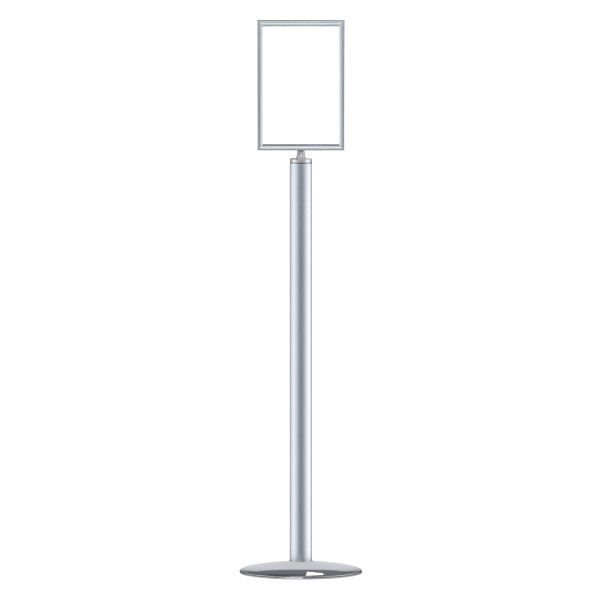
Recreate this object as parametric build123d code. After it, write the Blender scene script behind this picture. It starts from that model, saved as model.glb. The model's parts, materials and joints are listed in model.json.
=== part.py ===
from build123d import *

import os
from math import cos, radians, sin

# Double-sided snap-frame sign stand: a weighted round base, a tubular post and a swivelling head.
# Millimetres, +Z up, front of the sign towards -Y. The origin is the base's centre, on the floor.

# Post
POST_RADIUS = 27.5
POST_WALL = 2.0
POST_FOOT = 20.0            # height of the seat that the post stands on
POST_TOP = 985.5
BORE_RADIUS = POST_RADIUS - POST_WALL

# Base: a rubber pad, a cast weight and a spun cover crimped round it
PAD_RADIUS = 133.0
PAD_HOLE_RADIUS = 26.0
PAD_THICKNESS = 3.0
COVER_HOLE_RADIUS = POST_RADIUS + 0.4
COVER_TOP = 30.2            # height of the cover's outside at its hole
COVER_THICKNESS = 1.0
COVER_START_HEADING = -7.2
COVER_CROWN_RADIUS = 13884.0    # so slightly domed that it is nearly a cone
COVER_SHOULDER = ((292.0, -14.5), (36.3, -32.0), (5.0, -90.0))   # arcs: radius, heading at the end
COVER_CROWN_END = -7.5      # heading where the crown meets the shoulder
COVER_ROLL_RADIUS = 4.0
COVER_HEM = 7.5             # straight hem crimped under the weight
WEIGHT_CLEARANCE = 1.2      # air between weight and cover
WEIGHT_FOOT_RADIUS = 141.5
WEIGHT_RECESS_RADIUS = 24.0
WEIGHT_RECESS_TOP = 14.5
SOCKET_CLEARANCE = 0.05

# Base bolt, M12
BOLT_RADIUS = 6.0
BOLT_HEAD_LOW = 1.5
BOLT_HEAD_HIGH = 9.0
BOLT_HEAD_FLATS = 18.0
BOLT_END = 44.0
SPRING_WASHER_TOP = 12.0
FOOT_PLUG_TOP = 50.0
FOOT_SCREW_HEIGHT = 23.6
FOOT_SCREW_RADIUS = 2.0
FOOT_SCREW_ANGLES = (30.0, 150.0, 270.0)

# Swivel at the top of the post
PLUG_HEIGHT = 30.0
PLUG_WEB_BOTTOM = POST_TOP - 22.0
NUT_POCKET_RADIUS = 15.0
TOP_SCREW_HEIGHT = POST_TOP - 11.0
TOP_SCREW_RADIUS = 2.5
TOP_SCREW_ANGLES = (60.0, 120.0)
BUSH_RADIUS = 9.0
BUSH_FLANGE_RADIUS = 12.0
SPINDLE_RADIUS = 6.0
SPINDLE_CLEARANCE = 0.05
RING_THICKNESS = 1.4
RING_RADIUS = 26.9
CAP_BOTTOM = 987.0
CAP_TOP = 996.0
CAP_RADIUS = 26.6
THREAD_RADIUS = 5.0
SPINDLE_SHOULDER = 960.0
SPINDLE_END = 947.0
THRUST_WASHER_TOP = PLUG_WEB_BOTTOM - 0.1
THRUST_WASHER_BOTTOM = THRUST_WASHER_TOP - 1.8
NUT_TOP = 959.8
NUT_HEX_BOTTOM = 952.0
NUT_BOTTOM = 949.8
NUT_FLATS = 17.0
STEM_FOOT_RADIUS = 12.0
STEM_HEAD_RADIUS = 8.6
STEM_LAND = 4.3             # half depth of the stem's top, between the two bevels
STEM_BEVEL_SLOPE = 0.6      # drop per unit of depth: room for the open rails
STUD_RADIUS = 2.5           # M5 stud that joins the stem to the frame
STUD_BOTTOM = 1001.0
STUD_TOP = 1020.5
SET_SCREW_RADIUS = 2.0      # M4, on the stem's front, locks the stud
SET_SCREW_HEIGHT = 1009.2
SET_SCREW_LENGTH = 5.0

# Head: outer size of the frame, and the section of its bars.
# In a section, u runs inwards from the frame's outer edge and v runs outwards from its mid plane.
HEAD_BOTTOM = 1015.0
SIGHT_WIDTH = 177.8
SIGHT_HEIGHT = 279.4
RAIL_FACE = 16.5
HEAD_WIDTH = SIGHT_WIDTH + 2 * RAIL_FACE
HEAD_HEIGHT = SIGHT_HEIGHT + 2 * RAIL_FACE
CORE_WIDTH = 7.2
CORE_HALF_DEPTH = 3.9
CHAMBER = (1.4, 6.2, 2.9)   # inner u, outer u and half depth
GROOVE_HALF_WIDTH = 1.05
FLANGE_OUTER = 1.6
FLANGE_END = 10.1
HINGE_U = 1.7
HINGE_V = 6.2
BEAD_RADIUS = 1.1
NECK_WIDTH = 0.9
HOOK_BORE_RADIUS = 1.2
HOOK_RADIUS = 1.9
HOOK_START = -55.0
HOOK_END = 150.0
HOOK_SETBACK = 4.6          # beads and hooks stop short of the corners
RAIL_THICKNESS = 1.2
RAIL_START_HEADING = 60.0
RAIL_ARCS = ((4.0, 0.0), (17.8, -28.0), (80.0, -30.5), (3.2, -90.0))     # radius, heading at the end
RAIL_LIP = 0.65             # straight lip that stops 0.2 short of the clear cover
RAIL_CORNER_BLUNT = 1.2
MITRE_GAP = 0.2
LIP_MITRE_GAP = 0.9
LIP_RELIEF_TOP = 4.9

# What the frame holds
PANEL_EDGE = 8.0
PANEL_HALF_THICKNESS = 1.0
SHEET_EDGE = 10.4
SHEET_THICKNESS = 0.25
CLEAR_THICKNESS = 0.5

# Joining pieces of the frame
KEY_FIT = 0.1
KEY_LEG = 24.0
CORNER_SCREW_RADIUS = 1.5
CORNER_SCREW_S = 16.0       # distance from the frame's corner along a bar
CORNER_SCREW_LENGTH = 3.5
ANCHOR_HALF_LENGTH = 18.0
ANCHOR_SCREW_X = 12.0
ANCHOR_SCREW_RADIUS = 1.5
SPRING_U = (4.2, 7.1)
SPRING_SPAN = 40.0
SPRING_FOOT = 4.0
SPRING_RISE = 3.3
SPRING_THICKNESS = 0.5
SPRING_SETBACK = 45.0       # distance of a spring's middle from the frame's corner

# Sides of the frame: middle of the outer edge (x, z), inward direction, length of the bar
HEAD_TOP = HEAD_BOTTOM + HEAD_HEIGHT
HEAD_MIDDLE = HEAD_BOTTOM + HEAD_HEIGHT / 2
SIDES = {
    "top": ((0, HEAD_TOP), (0, -1), HEAD_WIDTH),
    "bottom": ((0, HEAD_BOTTOM), (0, 1), HEAD_WIDTH),
    "left": ((-HEAD_WIDTH / 2, HEAD_MIDDLE), (1, 0), HEAD_HEIGHT),
    "right": ((HEAD_WIDTH / 2, HEAD_MIDDLE), (-1, 0), HEAD_HEIGHT),
}
FACINGS = {"front": -1, "rear": 1}


def disc(radius, low, high, hole=0.0):
    """Round plate or sleeve about the Z axis."""
    body = Pos(0, 0, low) * Cylinder(radius, high - low, align=(Align.CENTER, Align.CENTER, Align.MIN))
    if hole:
        body -= Pos(0, 0, low) * Cylinder(hole, high - low, align=(Align.CENTER, Align.CENTER, Align.MIN))
    return body


def hexagon(flats, low, high):
    """Hexagonal prism about the Z axis."""
    outline = RegularPolygon(flats / 2, 6, major_radius=False)
    return Pos(0, 0, low) * extrude(outline, amount=high - low)


def revolved(outline):
    """Solid of revolution about Z from a closed outline of (radius, height) points."""
    face = make_face(Polyline(*[(r, 0, z) for r, z in outline], close=True))
    return revolve(face, Axis.Z)


def arc_run(start, heading, arcs, inset=0.0):
    """Tangent arcs that turn right, as (edges, end point), in plane (a, b), moved right by inset."""
    a = start[0] + inset * sin(radians(heading))
    b = start[1] - inset * cos(radians(heading))
    edges = []
    for radius, end_heading in arcs:
        reach = radius - inset
        points = [(a, b)]
        for share in (0.5, 1.0):
            turned = heading + share * (end_heading - heading)
            step_a = reach * (sin(radians(heading)) - sin(radians(turned)))
            step_b = reach * (cos(radians(turned)) - cos(radians(heading)))
            points.append((a + step_a, b + step_b))
        edges.append(ThreePointArc(*points))
        a, b = points[-1]
        heading = end_heading
    return edges, (a, b)


def arc_strip(start, heading, arcs, thickness, tail):
    """Face of even thickness along tangent arcs that turn right, with a straight tail."""
    outer, outer_end = arc_run(start, heading, arcs)
    inner, inner_end = arc_run(start, heading, arcs, thickness)
    step_a = tail * cos(radians(arcs[-1][1]))
    step_b = tail * sin(radians(arcs[-1][1]))
    outer_tip = (outer_end[0] + step_a, outer_end[1] + step_b)
    inner_tip = (inner_end[0] + step_a, inner_end[1] + step_b)
    ends = [Polyline(outer_end, outer_tip, inner_tip, inner_end), Line(outer[0] @ 0, inner[0] @ 0)]
    return make_face(outer + inner + ends)


def grub_screw(radius, length):
    """Headless socket screw along +X with its socket at the +X end, which is at the origin."""
    body = Cylinder(radius, length, align=(Align.CENTER, Align.CENTER, Align.MAX))
    socket = extrude(RegularPolygon(radius * 0.55, 6), amount=-0.4 * length)
    return Rot(0, 90, 0) * (body - socket)


def radial_screws(radius, length, height, angles):
    """Grub screws laid along radii of the post, just under its surface."""
    screw = Pos(POST_RADIUS - 0.2, 0, height) * grub_screw(radius, length)
    return [Rot(0, 0, angle) * screw for angle in angles]


def radial_holes(radius, height, angles):
    """Cutting tool for the radial screws' holes in the plug and the post."""
    length = POST_RADIUS + 2.0
    drill = Pos(0, 0, height) * Rot(0, 90, 0) * Cylinder(
        radius, length, align=(Align.CENTER, Align.CENTER, Align.MIN)
    )
    return [Rot(0, 0, angle) * drill for angle in angles]


# Base and post

def floor_pad():
    return disc(PAD_RADIUS, 0.0, PAD_THICKNESS, PAD_HOLE_RADIUS)


def cover_arcs():
    return COVER_START_HEADING, ((COVER_CROWN_RADIUS, COVER_CROWN_END),) + COVER_SHOULDER


def base_cover():
    heading, arcs = cover_arcs()
    arcs += ((COVER_ROLL_RADIUS, -180.0),)
    section = arc_strip((COVER_HOLE_RADIUS, COVER_TOP), heading, arcs, COVER_THICKNESS, COVER_HEM)
    shell = revolve(Plane.XZ * section, Axis.Z)
    return shell - disc(COVER_HOLE_RADIUS, 0.0, COVER_TOP)


def base_weight():
    heading, arcs = cover_arcs()
    start = (COVER_HOLE_RADIUS, COVER_TOP)
    top, rim = arc_run(start, heading, arcs, COVER_THICKNESS + WEIGHT_CLEARANCE)
    inner = top[0] @ 0
    axis_outline = Polyline(
        rim,
        (WEIGHT_FOOT_RADIUS, PAD_THICKNESS),
        (WEIGHT_RECESS_RADIUS, PAD_THICKNESS),
        (WEIGHT_RECESS_RADIUS, WEIGHT_RECESS_TOP),
        (BOLT_RADIUS + 0.5, WEIGHT_RECESS_TOP),
        (BOLT_RADIUS + 0.5, POST_FOOT),
        (inner.X, POST_FOOT),
        (inner.X, inner.Y),
    )
    casting = revolve(Plane.XZ * make_face(top + [axis_outline]), Axis.Z)
    return casting - disc(POST_RADIUS + SOCKET_CLEARANCE, POST_FOOT, COVER_TOP)


def base_bolt():
    head = hexagon(BOLT_HEAD_FLATS, BOLT_HEAD_LOW, BOLT_HEAD_HIGH)
    head &= revolved((
        (0, BOLT_HEAD_LOW),
        (BOLT_HEAD_FLATS / 2, BOLT_HEAD_LOW),
        (BOLT_HEAD_FLATS * 0.6, BOLT_HEAD_LOW + 1.2),
        (BOLT_HEAD_FLATS * 0.6, BOLT_HEAD_HIGH),
        (0, BOLT_HEAD_HIGH),
    ))
    shank = disc(BOLT_RADIUS, BOLT_HEAD_HIGH, BOLT_END)
    return head + chamfer(shank.edges().group_by(Axis.Z)[-1], 1.0)


def base_spring_washer():
    ring = disc(BOLT_RADIUS * 1.75, BOLT_HEAD_HIGH, SPRING_WASHER_TOP, BOLT_RADIUS + 0.2)
    middle = (BOLT_HEAD_HIGH + SPRING_WASHER_TOP) / 2
    split = Pos(BOLT_RADIUS * 1.5, 0, middle) * Rot(30, 0, 0) * Box(BOLT_RADIUS, 1.6, 2 * BOLT_RADIUS)
    return ring - split


def base_washer():
    return disc(18.5, SPRING_WASHER_TOP, WEIGHT_RECESS_TOP, BOLT_RADIUS + 0.5)


def foot_plug():
    body = disc(BORE_RADIUS, POST_FOOT, FOOT_PLUG_TOP, BOLT_RADIUS)
    return body - radial_holes(FOOT_SCREW_RADIUS, FOOT_SCREW_HEIGHT, FOOT_SCREW_ANGLES)


def foot_plug_screws():
    return radial_screws(FOOT_SCREW_RADIUS, 8.0, FOOT_SCREW_HEIGHT, FOOT_SCREW_ANGLES)


def post_tube():
    tube = disc(POST_RADIUS, POST_FOOT, POST_TOP, BORE_RADIUS)
    tube -= radial_holes(FOOT_SCREW_RADIUS, FOOT_SCREW_HEIGHT, FOOT_SCREW_ANGLES)
    return tube - radial_holes(TOP_SCREW_RADIUS, TOP_SCREW_HEIGHT, TOP_SCREW_ANGLES)


def top_plug():
    body = disc(BORE_RADIUS, POST_TOP - PLUG_HEIGHT, POST_TOP, BUSH_RADIUS)
    body -= disc(NUT_POCKET_RADIUS, POST_TOP - PLUG_HEIGHT, PLUG_WEB_BOTTOM)
    return body - radial_holes(TOP_SCREW_RADIUS, TOP_SCREW_HEIGHT, TOP_SCREW_ANGLES)


def top_plug_screws():
    return radial_screws(TOP_SCREW_RADIUS, 12.0, TOP_SCREW_HEIGHT, TOP_SCREW_ANGLES)


# Swivel

def swivel_bush():
    sleeve = disc(BUSH_RADIUS, PLUG_WEB_BOTTOM, POST_TOP)
    flange = disc(BUSH_FLANGE_RADIUS, POST_TOP, POST_TOP + RING_THICKNESS)
    bore = disc(SPINDLE_RADIUS + SPINDLE_CLEARANCE, PLUG_WEB_BOTTOM, POST_TOP + RING_THICKNESS)
    return sleeve + flange - bore


def swivel_ring():
    return disc(RING_RADIUS, POST_TOP, POST_TOP + RING_THICKNESS, BUSH_FLANGE_RADIUS + 0.3)


def swivel_cap():
    body = disc(CAP_RADIUS, CAP_BOTTOM, CAP_TOP)
    body = fillet(body.edges().group_by(Axis.Z)[-1], 1.2)
    body = chamfer(body.edges().group_by(Axis.Z)[0], 0.4)
    return body - disc(SPINDLE_RADIUS, CAP_BOTTOM, CAP_TOP)


def swivel_stem():
    """Tapered stem and spindle, bored for the stud and bevelled where the open rails swing."""
    body = revolved((
        (0, SPINDLE_END),
        (THREAD_RADIUS - 0.8, SPINDLE_END),
        (THREAD_RADIUS, SPINDLE_END + 0.8),
        (THREAD_RADIUS, SPINDLE_SHOULDER),
        (SPINDLE_RADIUS, SPINDLE_SHOULDER),
        (SPINDLE_RADIUS, CAP_TOP),
        (STEM_FOOT_RADIUS, CAP_TOP),
        (STEM_FOOT_RADIUS, CAP_TOP + 1.0),
        (STEM_HEAD_RADIUS, HEAD_BOTTOM),
        (STUD_RADIUS, HEAD_BOTTOM),
        (STUD_RADIUS, STUD_BOTTOM),
        (0, STUD_BOTTOM),
    ))
    bevel = Polyline(
        (STEM_LAND, HEAD_BOTTOM),
        (STEM_FOOT_RADIUS, HEAD_BOTTOM),
        (STEM_FOOT_RADIUS, HEAD_BOTTOM - STEM_BEVEL_SLOPE * (STEM_FOOT_RADIUS - STEM_LAND)),
        close=True,
    )
    waste = extrude(Plane.YZ * make_face(bevel), amount=STEM_FOOT_RADIUS, both=True)
    drill = Pos(0, 0, SET_SCREW_HEIGHT) * Rot(90, 0, 0) * Cylinder(
        SET_SCREW_RADIUS, STEM_FOOT_RADIUS, align=(Align.CENTER, Align.CENTER, Align.MIN)
    )
    return body - waste - mirror(waste, Plane.XZ) - drill


def head_stud():
    stud = disc(STUD_RADIUS, STUD_BOTTOM, STUD_TOP)
    return chamfer(stud.edges().group_by(Axis.Z)[0] + stud.edges().group_by(Axis.Z)[-1], 0.5)


def stem_set_screw():
    screw = Rot(0, 0, -90) * grub_screw(SET_SCREW_RADIUS, SET_SCREW_LENGTH)
    return Pos(0, -STUD_RADIUS - SET_SCREW_LENGTH, SET_SCREW_HEIGHT) * screw


def thrust_washer():
    return disc(NUT_POCKET_RADIUS - 2.0, THRUST_WASHER_BOTTOM, THRUST_WASHER_TOP, SPINDLE_RADIUS + 0.1)


def disc_spring():
    """Conical spring washer between the nut and the thrust washer."""
    inner = SPINDLE_RADIUS + 0.1
    outer = NUT_POCKET_RADIUS - 4.0
    sheet = 0.8
    return revolved((
        (inner, NUT_TOP),
        (outer, THRUST_WASHER_BOTTOM - sheet),
        (outer, THRUST_WASHER_BOTTOM),
        (inner, NUT_TOP + sheet),
    ))


def swivel_nut():
    body = hexagon(NUT_FLATS, NUT_HEX_BOTTOM, NUT_TOP)
    body += disc(NUT_FLATS * 0.45, NUT_BOTTOM, NUT_HEX_BOTTOM)
    return body - disc(THREAD_RADIUS, NUT_BOTTOM, NUT_TOP)


# Head

def side_plane(side, facing="front"):
    """Plane of a bar's section: X is u, Y is v on the given face, Z runs along the bar."""
    (x, z), (inward_x, inward_z), _ = SIDES[side]
    inward = Vector(inward_x, 0, inward_z)
    outward = Vector(0, FACINGS[facing], 0)
    return Plane(origin=(x, 0, z), x_dir=inward, z_dir=inward.cross(outward))


def block(u_low, u_high, v_low, v_high, half_length):
    """Straight block in a bar's own section axes."""
    body = Box(u_high - u_low, v_high - v_low, 2 * half_length)
    return Pos((u_low + u_high) / 2, (v_low + v_high) / 2, 0) * body


def mitred(bar, half_length, gap, v_low=-20.0, v_high=20.0):
    """Bar with both ends cut at 45 degrees, gap short of the corner, between two depths."""
    size = 2 * RAIL_FACE + HEAD_WIDTH
    waste = Pos((v_low + v_high) / 2, 0, size / 2) * Box(v_high - v_low, size, size)
    for end in (-1, 1):
        cut = Plane(origin=(0, 0, end * (half_length - gap)), x_dir=(0, 1, 0), z_dir=(1, 0, end))
        bar -= cut * waste
    return bar


def core_bar(side):
    """Mitred extrusion with a chamber, a groove for the panel and a hinge bead on each face."""
    half_length = SIDES[side][2] / 2
    chamber_low, chamber_high, chamber_depth = CHAMBER
    body = block(0, CORE_WIDTH, -CORE_HALF_DEPTH, CORE_HALF_DEPTH, half_length)
    body += block(CORE_WIDTH, FLANGE_END, -FLANGE_OUTER, FLANGE_OUTER, half_length)
    body -= block(CORE_WIDTH, FLANGE_END, -GROOVE_HALF_WIDTH, GROOVE_HALF_WIDTH, half_length)
    body -= block(chamber_low, chamber_high, -chamber_depth, chamber_depth, half_length)
    body = mitred(body, half_length, 0.0)
    bead_half_length = half_length - HOOK_SETBACK
    neck_low = HINGE_U - NECK_WIDTH / 2
    neck_high = HINGE_U + NECK_WIDTH / 2
    for facing in FACINGS.values():
        top = -facing * HINGE_V
        neck_range = sorted((-facing * (CORE_HALF_DEPTH - 0.2), top))
        body += block(neck_low, neck_high, *neck_range, bead_half_length)
        body += Pos(HINGE_U, top, 0) * Cylinder(BEAD_RADIUS, 2 * bead_half_length)
    screw_u = (chamber_low + chamber_high) / 2
    for end in (-1, 1):
        place = Pos(screw_u, -CORE_HALF_DEPTH, end * (half_length - CORNER_SCREW_S))
        body -= place * Rot(90, 0, 0) * Cylinder(CORNER_SCREW_RADIUS, 3.0)
    return side_plane(side) * body


def bottom_core_bar():
    """Bottom bar, drilled for the stem's stud and the anchor's screws."""
    bar = core_bar("bottom")
    bar -= disc(STUD_RADIUS, HEAD_BOTTOM - 1.0, HEAD_BOTTOM + CHAMBER[0] + 0.5)
    return bar - anchor_screw_tools()


def countersunk_screw():
    """Countersunk screw along +Z with its head's flat at the origin."""
    head_radius = 2 * ANCHOR_SCREW_RADIUS - 0.2
    cone = head_radius - ANCHOR_SCREW_RADIUS
    return revolved((
        (0, 0),
        (head_radius, 0),
        (ANCHOR_SCREW_RADIUS, cone),
        (ANCHOR_SCREW_RADIUS, CHAMBER[1] - KEY_FIT - 0.4),
        (0, CHAMBER[1] - KEY_FIT - 0.4),
    ))


def anchor_screw_tools():
    return [Pos(x, 0, HEAD_BOTTOM) * countersunk_screw() for x in (-ANCHOR_SCREW_X, ANCHOR_SCREW_X)]


def stem_anchor():
    """Tapped bar inside the bottom bar's chamber that the stem's stud screws into."""
    low, high, depth = CHAMBER
    bar = block(low + KEY_FIT, high - KEY_FIT, -depth + KEY_FIT, depth - KEY_FIT, ANCHOR_HALF_LENGTH)
    bar = side_plane("bottom") * bar
    bar -= disc(STUD_RADIUS, HEAD_BOTTOM, HEAD_BOTTOM + CHAMBER[1])
    return bar - anchor_screw_tools()


def anchor_screws():
    sockets = [
        Pos(x, 0, HEAD_BOTTOM) * extrude(RegularPolygon(1.0, 6), amount=1.2)
        for x in (-ANCHOR_SCREW_X, ANCHOR_SCREW_X)
    ]
    return [screw - socket for screw, socket in zip(anchor_screw_tools(), sockets)]


def corner_places():
    """Corners of the frame: outer corner point and inward directions along x and z."""
    for x_sign in (-1, 1):
        for corner_z, z_in in ((HEAD_BOTTOM, 1), (HEAD_TOP, -1)):
            yield x_sign * HEAD_WIDTH / 2, corner_z, -x_sign, z_in


def corner_screw_holes():
    """Where the corner screws stand: x and z of each."""
    middle = (CHAMBER[0] + CHAMBER[1]) / 2
    for x, z, x_in, z_in in corner_places():
        yield x + x_in * CORNER_SCREW_S, z + z_in * middle
        yield x + x_in * middle, z + z_in * CORNER_SCREW_S


def corner_keys():
    """L-shaped keys in the bars' chambers, one in each corner."""
    low, high, depth = CHAMBER
    near, far = low + KEY_FIT, high - KEY_FIT
    outline = Polyline(
        (near, near), (KEY_LEG, near), (KEY_LEG, far), (far, far), (far, KEY_LEG), (near, KEY_LEG),
        close=True,
    )
    key = extrude(Plane.XZ * make_face(outline), amount=depth - KEY_FIT, both=True)
    keys = []
    for x, z, x_in, z_in in corner_places():
        turned = key
        if x_in < 0:
            turned = mirror(turned, Plane.YZ)
        if z_in < 0:
            turned = mirror(turned, Plane.XY)
        keys.append(Pos(x, 0, z) * turned)
    drills = [
        Pos(x, CORE_HALF_DEPTH - CORNER_SCREW_LENGTH / 2, z) * Rot(90, 0, 0)
        * Cylinder(CORNER_SCREW_RADIUS, CORNER_SCREW_LENGTH)
        for x, z in corner_screw_holes()
    ]
    return [one - drills for one in keys]


def corner_screws():
    """Grub screws on the rear face that lock the keys."""
    screw = Rot(0, 0, 90) * grub_screw(CORNER_SCREW_RADIUS, CORNER_SCREW_LENGTH)
    return [Pos(x, CORE_HALF_DEPTH, z) * screw for x, z in corner_screw_holes()]


def sheet(edge, low, high, facing=-1):
    """Flat sheet inside the frame between two depths on one face."""
    body = Box(HEAD_WIDTH - 2 * edge, high - low, HEAD_HEIGHT - 2 * edge)
    return Pos(0, facing * (low + high) / 2, HEAD_MIDDLE) * body


def rail_springs(facing):
    """Bowed leaf springs in the chambers under one face's rails, two to a rail."""
    half_span = SPRING_SPAN / 2
    low = CORE_HALF_DEPTH
    high = low + SPRING_THICKNESS
    foot = half_span + SPRING_FOOT
    outline = [
        ThreePointArc((-half_span, high), (0, high + SPRING_RISE - SPRING_THICKNESS), (half_span, high)),
        Polyline((half_span, high), (foot, high), (foot, low), (half_span, low)),
        ThreePointArc((half_span, low), (0, low + SPRING_RISE - SPRING_THICKNESS), (-half_span, low)),
        Polyline((-half_span, low), (-foot, low), (-foot, high), (-half_span, high)),
    ]
    u_low, u_high = SPRING_U
    section = Plane(origin=(u_high, 0, 0), x_dir=(0, 0, 1), z_dir=(-1, 0, 0))
    leaf = extrude(section * make_face(outline), amount=u_high - u_low)
    springs = []
    for side, (_, _, length) in SIDES.items():
        for end in (-1, 1):
            place = Pos(0, 0, end * (length / 2 - SPRING_SETBACK))
            springs.append(side_plane(side, facing) * (place * leaf))
    return springs


def rail(side, facing):
    """Snap rail: an arched cover that hooks round the bead and hinges on the outer edge."""
    half_length = SIDES[side][2] / 2
    start = (
        HINGE_U + HOOK_RADIUS * cos(radians(HOOK_END)),
        HINGE_V + HOOK_RADIUS * sin(radians(HOOK_END)),
    )
    section = arc_strip(start, RAIL_START_HEADING, RAIL_ARCS, RAIL_THICKNESS, RAIL_LIP)
    cover = extrude(section, amount=half_length - RAIL_CORNER_BLUNT, both=True)
    cover = mitred(cover, half_length, MITRE_GAP)
    cover = mitred(cover, half_length, LIP_MITRE_GAP, v_high=LIP_RELIEF_TOP)
    hinge = (HINGE_U, HINGE_V)
    sweep_angle = HOOK_END - HOOK_START
    outer_hook = CenterArc(hinge, HOOK_RADIUS, HOOK_START, sweep_angle)
    inner_hook = CenterArc(hinge, HOOK_BORE_RADIUS, HOOK_START, sweep_angle)
    hook_ends = [Line(outer_hook @ end, inner_hook @ end) for end in (0, 1)]
    hook_section = make_face([outer_hook, inner_hook] + hook_ends)
    hook = extrude(hook_section, amount=half_length - HOOK_SETBACK, both=True)
    bore = Pos(HINGE_U, HINGE_V, 0) * Cylinder(HOOK_BORE_RADIUS, 2 * half_length)
    return side_plane(side, facing) * (cover + hook - bore)


def parts():
    """Every piece by name; a group of like pieces is a list."""
    cover_low = PANEL_HALF_THICKNESS + SHEET_THICKNESS
    named = {
        "floor_pad": floor_pad(),
        "base_weight": base_weight(),
        "base_cover": base_cover(),
        "base_bolt": base_bolt(),
        "base_spring_washer": base_spring_washer(),
        "base_washer": base_washer(),
        "foot_plug": foot_plug(),
        "foot_plug_screws": foot_plug_screws(),
        "post_tube": post_tube(),
        "top_plug": top_plug(),
        "top_plug_screws": top_plug_screws(),
        "swivel_bush": swivel_bush(),
        "swivel_ring": swivel_ring(),
        "swivel_cap": swivel_cap(),
        "swivel_stem": swivel_stem(),
        "stem_set_screw": stem_set_screw(),
        "head_stud": head_stud(),
        "thrust_washer": thrust_washer(),
        "disc_spring": disc_spring(),
        "swivel_nut": swivel_nut(),
        "stem_anchor": stem_anchor(),
        "anchor_screws": anchor_screws(),
        "frame_core_bottom": bottom_core_bar(),
        "frame_core_top": core_bar("top"),
        "frame_core_left": core_bar("left"),
        "frame_core_right": core_bar("right"),
        "corner_keys": corner_keys(),
        "corner_screws": corner_screws(),
        "divider_panel": sheet(PANEL_EDGE, -PANEL_HALF_THICKNESS, PANEL_HALF_THICKNESS),
    }
    for facing, direction in FACINGS.items():
        named[facing + "_sheet"] = sheet(SHEET_EDGE, PANEL_HALF_THICKNESS, cover_low, direction)
        named[facing + "_cover"] = sheet(SHEET_EDGE, cover_low, cover_low + CLEAR_THICKNESS, direction)
        named[facing + "_rail_springs"] = rail_springs(facing)
        for side in SIDES:
            named[facing + "_rail_" + side] = rail(side, facing)
    return named


os.makedirs("parts", exist_ok=True)
for name, shape in parts().items():
    if isinstance(shape, list):
        shape = Compound(children=shape)
    export_step(shape, "parts/" + name + ".step")
    print(name, [round(value, 2) for value in shape.bounding_box().size])
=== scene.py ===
"""Sign stand: a double-sided snap frame that turns on a satin post over a chromed, weighted base."""

from __future__ import annotations

import json
import logging
import math
from dataclasses import dataclass
from enum import Enum
from typing import Iterable, Sequence

import bmesh
import bpy
from mathutils import Matrix, Vector

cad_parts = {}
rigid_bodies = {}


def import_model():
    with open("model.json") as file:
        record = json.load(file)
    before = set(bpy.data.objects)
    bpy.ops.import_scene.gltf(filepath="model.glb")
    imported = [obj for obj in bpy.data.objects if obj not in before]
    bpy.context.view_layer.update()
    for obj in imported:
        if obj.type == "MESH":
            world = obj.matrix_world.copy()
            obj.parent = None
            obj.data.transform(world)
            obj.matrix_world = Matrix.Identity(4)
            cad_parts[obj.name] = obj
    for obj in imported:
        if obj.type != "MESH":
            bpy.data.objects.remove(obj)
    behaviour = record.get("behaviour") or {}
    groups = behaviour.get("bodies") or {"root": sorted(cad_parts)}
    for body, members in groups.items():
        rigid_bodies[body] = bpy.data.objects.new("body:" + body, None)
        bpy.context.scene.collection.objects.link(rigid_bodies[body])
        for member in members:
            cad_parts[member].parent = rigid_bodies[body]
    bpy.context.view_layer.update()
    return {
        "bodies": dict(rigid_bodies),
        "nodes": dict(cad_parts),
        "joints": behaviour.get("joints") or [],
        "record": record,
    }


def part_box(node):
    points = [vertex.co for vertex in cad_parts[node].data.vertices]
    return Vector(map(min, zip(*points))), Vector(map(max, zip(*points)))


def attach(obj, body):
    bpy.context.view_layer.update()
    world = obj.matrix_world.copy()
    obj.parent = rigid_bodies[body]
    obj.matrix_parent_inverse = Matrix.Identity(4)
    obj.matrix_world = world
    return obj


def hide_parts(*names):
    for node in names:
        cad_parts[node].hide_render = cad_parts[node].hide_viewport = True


MM = 0.001
PATTERN_LOW, PATTERN_HIGH = 0.3, 0.7  # noise seldom leaves this range
MIX_A, MIX_B, MIX_RESULT = 6, 7, 2  # colour sockets of a Mix node
Point = tuple[float, float]
Corners = tuple[tuple[float, float, float], ...]
log = logging.getLogger("sign_stand")


class Side(Enum):
    """Sides of the frame: name, inward direction in x and z."""

    TOP = ("top", (0.0, -1.0))
    BOTTOM = ("bottom", (0.0, 1.0))
    LEFT = ("left", (1.0, 0.0))
    RIGHT = ("right", (-1.0, 0.0))


class Facing(Enum):
    """Faces of the sign: name and outward direction in y."""

    FRONT = ("front", -1.0)
    REAR = ("rear", 1.0)


class Grain(Enum):
    """Which way drawn or rolled lines run: scale of the pattern along x, y and z."""

    ALONG_X = (0.02, 1.0, 1.0)
    ALONG_Z = (1.0, 1.0, 0.02)
    TURNED = (1.0, 1.0, 1.0)


# ---------------------------------------------------------------- materials


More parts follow.
